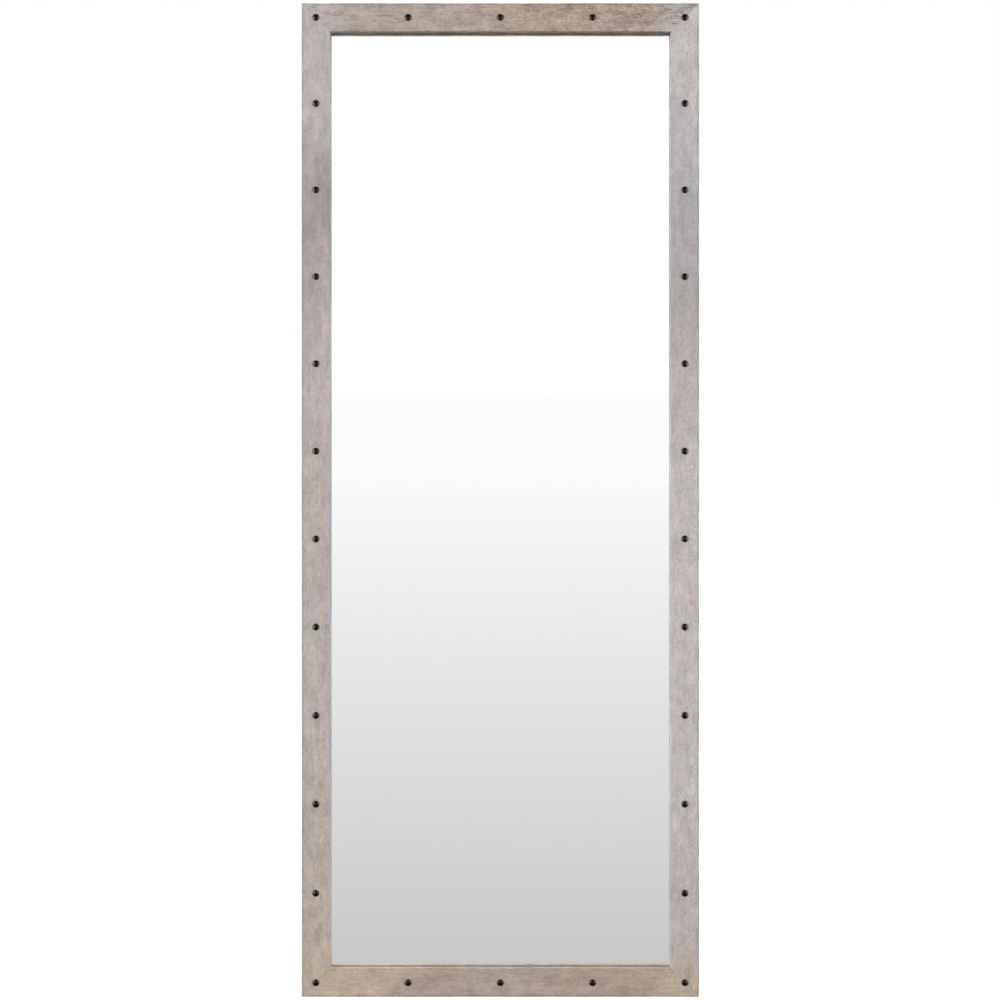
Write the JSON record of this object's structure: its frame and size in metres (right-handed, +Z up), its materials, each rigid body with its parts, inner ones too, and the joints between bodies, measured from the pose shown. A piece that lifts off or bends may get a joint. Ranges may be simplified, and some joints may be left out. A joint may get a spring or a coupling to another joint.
{
  "type": "accent mirror",
  "caption": "Tall rectangular wall mirror in a mitred, limed wooden frame with dark domed nailheads, a recessed flat glass and ring hangers behind.",
  "frame": {"origin": "middle of the wall plane, which the four pads on the back touch", "axes": "+X to the right seen from the front, +Y out of the back towards the wall, +Z up along the height; the glass faces -Y"},
  "size_m": [0.7112, 0.0425, 1.778],
  "materials": {
    "limed_wood": "open grain under a pale grey wash, matt",
    "dark_tack": "near black, hammered, glossy",
    "silvered_glass": "polished, silvered on the back",
    "foam": "closed cell foam",
    "fibreboard": "brown fibreboard, matt",
    "beech": "compressed beech",
    "neoprene": "matt black",
    "cork": "cork strip",
    "zinc": "zinc plated",
    "nickel": "nickel plated",
    "pad_rubber": "matt black"
  },
  "bodies": {
    "frame": {"backing_board": "fibreboard", "board_screws": "zinc", "bottom_rail": "limed_wood", "brace_screws": "zinc", "corner_biscuit_bottom_left": "beech", "corner_biscuit_bottom_right": "beech", "corner_biscuit_top_left": "beech", "corner_biscuit_top_right": "beech", "corner_brace_bottom_left": "zinc", "corner_brace_bottom_right": "zinc", "corner_brace_top_left": "zinc", "corner_brace_top_right": "zinc", "edge_shims_left": "cork", "edge_shims_right": "cork", "edge_shims_top": "cork", "foam_sheet": "foam", "hanger_screws": "nickel", "hanger_strap_left": "nickel", "hanger_strap_right": "nickel", "left_stile": "limed_wood", "mirror_pane": "silvered_glass", "nailheads_bottom": "dark_tack", "nailheads_left": "dark_tack", "nailheads_right": "dark_tack", "nailheads_top": "dark_tack", "right_stile": "limed_wood", "setting_block_left": "neoprene", "setting_block_right": "neoprene", "top_rail": "limed_wood", "wall_pad_bottom_left": "pad_rubber", "wall_pad_bottom_right": "pad_rubber", "wall_pad_top_left": "pad_rubber", "wall_pad_top_right": "pad_rubber"},
    "ring_left": {"hanger_ring_left": "nickel"},
    "ring_right": {"hanger_ring_right": "nickel"}
  },
  "joints": [
    {"name": "ring_left_swing", "type": "hinge", "parent": "frame", "child": "ring_left", "pos_m": [-0.3412, -0.0034, 0.439], "axis": [1, 0, 0], "range_deg": [0, 178]},
    {"name": "ring_right_swing", "type": "hinge", "parent": "frame", "child": "ring_right", "pos_m": [0.3412, -0.0034, 0.439], "axis": [1, 0, 0], "range_deg": [0, 178]}
  ]
}
